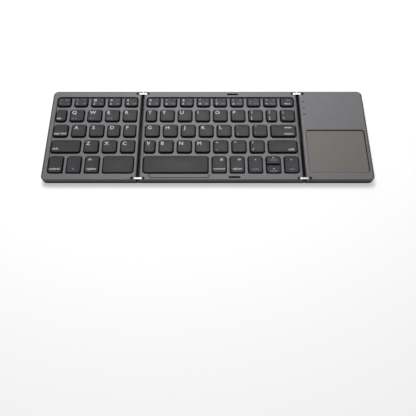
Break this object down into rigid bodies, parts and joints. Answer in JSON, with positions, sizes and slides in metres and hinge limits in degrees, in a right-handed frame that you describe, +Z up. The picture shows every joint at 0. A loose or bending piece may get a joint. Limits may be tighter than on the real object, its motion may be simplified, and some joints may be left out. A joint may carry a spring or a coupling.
{
  "type": "folding keyboard",
  "caption": "Pocket keyboard in three panels: two wings, one with a touchpad, fold up over the centre on double-pivot links at both fold lines.",
  "frame": {"origin": "middle of the open keyboard's footprint, on the surface that the feet stand on", "axes": "+X from the left wing to the right wing, +Y from the front edge to the back edge, +Z up, out of the keys"},
  "size_m": [0.3062, 0.0992, 0.0082],
  "materials": {
    "frame_paint": "fine satin anodised grey",
    "cover_plastic": "fine matte dark grey",
    "key_plastic": "smooth matte dark grey with printed legends",
    "plate_steel": "stamped, blackened",
    "dome_silicone": "black silicone",
    "scissor_plastic": "moulded, black",
    "screw_steel": "plated",
    "block_steel": "sintered",
    "foot_rubber": "matte black",
    "link_chrome": "polished",
    "pin_steel": "turned",
    "flex_black": "thin black film",
    "pad_glass": "etched, warm grey",
    "circuit_board": "solder mask",
    "battery_foil": "foil pouch",
    "port_shell": "nickel plated",
    "lens_plastic": "smoked"
  },
  "bodies": {
    "centre": {"centre_top_frame": "frame_paint", "centre_bottom_cover": "cover_plastic", "centre_base_plate": "plate_steel", "centre_dome_sheet": "dome_silicone", "centre_key_scissors": "scissor_plastic", "centre_screws": "screw_steel", "centre_hinge_blocks": "block_steel", "centre_feet": "foot_rubber", "centre_bumpers": "foot_rubber"},
    "left_wing": {"left_top_frame": "frame_paint", "left_bottom_cover": "cover_plastic", "left_base_plate": "plate_steel", "left_dome_sheet": "dome_silicone", "left_key_scissors": "scissor_plastic", "left_screws": "screw_steel", "left_hinge_blocks": "block_steel", "left_feet": "foot_rubber"},
    "right_wing": {"right_top_frame": "frame_paint", "right_bottom_cover": "cover_plastic", "right_screws": "screw_steel", "right_hinge_blocks": "block_steel", "right_feet": "foot_rubber", "touchpad_glass": "pad_glass", "touchpad_board": "circuit_board", "main_board": "circuit_board", "battery": "battery_foil", "charging_port": "port_shell", "indicator_lenses": "lens_plastic"},
    "left_link": {"left_hinge_links": "link_chrome", "left_hinge_pins": "pin_steel", "left_flex_cable": "flex_black"},
    "right_link": {"right_hinge_links": "link_chrome", "right_hinge_pins": "pin_steel", "right_flex_cable": "flex_black"},
    "esc_key": {"esc_key": "key_plastic"},
    "left_number_keys": {"left_number_keys": "key_plastic"},
    "tab_key": {"tab_key": "key_plastic"},
    "left_upper_letter_keys": {"left_upper_letter_keys": "key_plastic"},
    "caps_lock_key": {"caps_lock_key": "key_plastic"},
    "left_home_letter_keys": {"left_home_letter_keys": "key_plastic"},
    "left_shift_key": {"left_shift_key": "key_plastic"},
    "left_lower_letter_keys": {"left_lower_letter_keys": "key_plastic"},
    "control_key": {"control_key": "key_plastic"},
    "fn_key": {"fn_key": "key_plastic"},
    "left_alt_key": {"left_alt_key": "key_plastic"},
    "left_space_key": {"left_space_key": "key_plastic"},
    "centre_number_keys": {"centre_number_keys": "key_plastic"},
    "backspace_key": {"backspace_key": "key_plastic"},
    "centre_upper_letter_keys": {"centre_upper_letter_keys": "key_plastic"},
    "centre_home_letter_keys": {"centre_home_letter_keys": "key_plastic"},
    "enter_key": {"enter_key": "key_plastic"},
    "centre_lower_letter_keys": {"centre_lower_letter_keys": "key_plastic"},
    "right_shift_key": {"right_shift_key": "key_plastic"},
    "right_space_key": {"right_space_key": "key_plastic"},
    "command_key": {"command_key": "key_plastic"},
    "right_alt_key": {"right_alt_key": "key_plastic"},
    "left_arrow_key": {"left_arrow_key": "key_plastic"},
    "up_arrow_key": {"up_arrow_key": "key_plastic"},
    "down_arrow_key": {"down_arrow_key": "key_plastic"},
    "right_arrow_key": {"right_arrow_key": "key_plastic"}
  },
  "joints": [
    {"name": "left_inner_fold", "type": "hinge", "parent": "centre", "child": "left_link", "pos_m": [-0.0611, 0, 0.0048], "axis": [0, 1, 0], "range_deg": [0, 90], "deforming": ["left_flex_cable"]},
    {"name": "left_outer_fold", "type": "hinge", "parent": "left_link", "child": "left_wing", "pos_m": [-0.0676, 0, 0.0048], "axis": [0, 1, 0], "range_deg": [0, 90], "deforming": ["left_flex_cable"]},
    {"name": "right_inner_fold", "type": "hinge", "parent": "centre", "child": "right_link", "pos_m": [0.0856, 0, 0.0048], "axis": [0, -1, 0], "range_deg": [0, 90], "deforming": ["right_flex_cable"]},
    {"name": "right_outer_fold", "type": "hinge", "parent": "right_link", "child": "right_wing", "pos_m": [0.0921, 0, 0.0048], "axis": [0, -1, 0], "range_deg": [0, 90], "deforming": ["right_flex_cable"]},
    {"name": "esc_key_press", "type": "slide", "parent": "left_wing", "child": "esc_key", "axis": [0, 0, -1], "range_m": [0, 0.0013], "stiffness_N_per_m": 300, "deforming": ["left_dome_sheet", "left_key_scissors"]},
    {"name": "left_number_keys_press", "type": "slide", "parent": "left_wing", "child": "left_number_keys", "axis": [0, 0, -1], "range_m": [0, 0.0013], "stiffness_N_per_m": 300, "deforming": ["left_dome_sheet", "left_key_scissors"]},
    {"name": "tab_key_press", "type": "slide", "parent": "left_wing", "child": "tab_key", "axis": [0, 0, -1], "range_m": [0, 0.0013], "stiffness_N_per_m": 300, "deforming": ["left_dome_sheet", "left_key_scissors"]},
    {"name": "left_upper_letter_keys_press", "type": "slide", "parent": "left_wing", "child": "left_upper_letter_keys", "axis": [0, 0, -1], "range_m": [0, 0.0013], "stiffness_N_per_m": 300, "deforming": ["left_dome_sheet", "left_key_scissors"]},
    {"name": "caps_lock_key_press", "type": "slide", "parent": "left_wing", "child": "caps_lock_key", "axis": [0, 0, -1], "range_m": [0, 0.0013], "stiffness_N_per_m": 300, "deforming": ["left_dome_sheet", "left_key_scissors"]},
    {"name": "left_home_letter_keys_press", "type": "slide", "parent": "left_wing", "child": "left_home_letter_keys", "axis": [0, 0, -1], "range_m": [0, 0.0013], "stiffness_N_per_m": 300, "deforming": ["left_dome_sheet", "left_key_scissors"]},
    {"name": "left_shift_key_press", "type": "slide", "parent": "left_wing", "child": "left_shift_key", "axis": [0, 0, -1], "range_m": [0, 0.0013], "stiffness_N_per_m": 300, "deforming": ["left_dome_sheet", "left_key_scissors"]},
    {"name": "left_lower_letter_keys_press", "type": "slide", "parent": "left_wing", "child": "left_lower_letter_keys", "axis": [0, 0, -1], "range_m": [0, 0.0013], "stiffness_N_per_m": 300, "deforming": ["left_dome_sheet", "left_key_scissors"]},
    {"name": "control_key_press", "type": "slide", "parent": "left_wing", "child": "control_key", "axis": [0, 0, -1], "range_m": [0, 0.0013], "stiffness_N_per_m": 300, "deforming": ["left_dome_sheet", "left_key_scissors"]},
    {"name": "fn_key_press", "type": "slide", "parent": "left_wing", "child": "fn_key", "axis": [0, 0, -1], "range_m": [0, 0.0013], "stiffness_N_per_m": 300, "deforming": ["left_dome_sheet", "left_key_scissors"]},
    {"name": "left_alt_key_press", "type": "slide", "parent": "left_wing", "child": "left_alt_key", "axis": [0, 0, -1], "range_m": [0, 0.0013], "stiffness_N_per_m": 300, "deforming": ["left_dome_sheet", "left_key_scissors"]},
    {"name": "left_space_key_press", "type": "slide", "parent": "left_wing", "child": "left_space_key", "axis": [0, 0, -1], "range_m": [0, 0.0013], "stiffness_N_per_m": 300, "deforming": ["left_dome_sheet", "left_key_scissors"]},
    {"name": "centre_number_keys_press", "type": "slide", "parent": "centre", "child": "centre_number_keys", "axis": [0, 0, -1], "range_m": [0, 0.0013], "stiffness_N_per_m": 300, "deforming": ["centre_dome_sheet", "centre_key_scissors"]},
    {"name": "backspace_key_press", "type": "slide", "parent": "centre", "child": "backspace_key", "axis": [0, 0, -1], "range_m": [0, 0.0013], "stiffness_N_per_m": 300, "deforming": ["centre_dome_sheet", "centre_key_scissors"]},
    {"name": "centre_upper_letter_keys_press", "type": "slide", "parent": "centre", "child": "centre_upper_letter_keys", "axis": [0, 0, -1], "range_m": [0, 0.0013], "stiffness_N_per_m": 300, "deforming": ["centre_dome_sheet", "centre_key_scissors"]},
    {"name": "centre_home_letter_keys_press", "type": "slide", "parent": "centre", "child": "centre_home_letter_keys", "axis": [0, 0, -1], "range_m": [0, 0.0013], "stiffness_N_per_m": 300, "deforming": ["centre_dome_sheet", "centre_key_scissors"]},
    {"name": "enter_key_press", "type": "slide", "parent": "centre", "child": "enter_key", "axis": [0, 0, -1], "range_m": [0, 0.0013], "stiffness_N_per_m": 300, "deforming": ["centre_dome_sheet", "centre_key_scissors"]},
    {"name": "centre_lower_letter_keys_press", "type": "slide", "parent": "centre", "child": "centre_lower_letter_keys", "axis": [0, 0, -1], "range_m": [0, 0.0013], "stiffness_N_per_m": 300, "deforming": ["centre_dome_sheet", "centre_key_scissors"]},
    {"name": "right_shift_key_press", "type": "slide", "parent": "centre", "child": "right_shift_key", "axis": [0, 0, -1], "range_m": [0, 0.0013], "stiffness_N_per_m": 300, "deforming": ["centre_dome_sheet", "centre_key_scissors"]},
    {"name": "right_space_key_press", "type": "slide", "parent": "centre", "child": "right_space_key", "axis": [0, 0, -1], "range_m": [0, 0.0013], "stiffness_N_per_m": 300, "deforming": ["centre_dome_sheet", "centre_key_scissors"]},
    {"name": "command_key_press", "type": "slide", "parent": "centre", "child": "command_key", "axis": [0, 0, -1], "range_m": [0, 0.0013], "stiffness_N_per_m": 300, "deforming": ["centre_dome_sheet", "centre_key_scissors"]},
    {"name": "right_alt_key_press", "type": "slide", "parent": "centre", "child": "right_alt_key", "axis": [0, 0, -1], "range_m": [0, 0.0013], "stiffness_N_per_m": 300, "deforming": ["centre_dome_sheet", "centre_key_scissors"]},
    {"name": "left_arrow_key_press", "type": "slide", "parent": "centre", "child": "left_arrow_key", "axis": [0, 0, -1], "range_m": [0, 0.0013], "stiffness_N_per_m": 300, "deforming": ["centre_dome_sheet", "centre_key_scissors"]},
    {"name": "up_arrow_key_press", "type": "slide", "parent": "centre", "child": "up_arrow_key", "axis": [0, 0, -1], "range_m": [0, 0.0013], "stiffness_N_per_m": 300, "deforming": ["centre_dome_sheet", "centre_key_scissors"]},
    {"name": "down_arrow_key_press", "type": "slide", "parent": "centre", "child": "down_arrow_key", "axis": [0, 0, -1], "range_m": [0, 0.0013], "stiffness_N_per_m": 300, "deforming": ["centre_dome_sheet", "centre_key_scissors"]},
    {"name": "right_arrow_key_press", "type": "slide", "parent": "centre", "child": "right_arrow_key", "axis": [0, 0, -1], "range_m": [0, 0.0013], "stiffness_N_per_m": 300, "deforming": ["centre_dome_sheet", "centre_key_scissors"]}
  ]
}
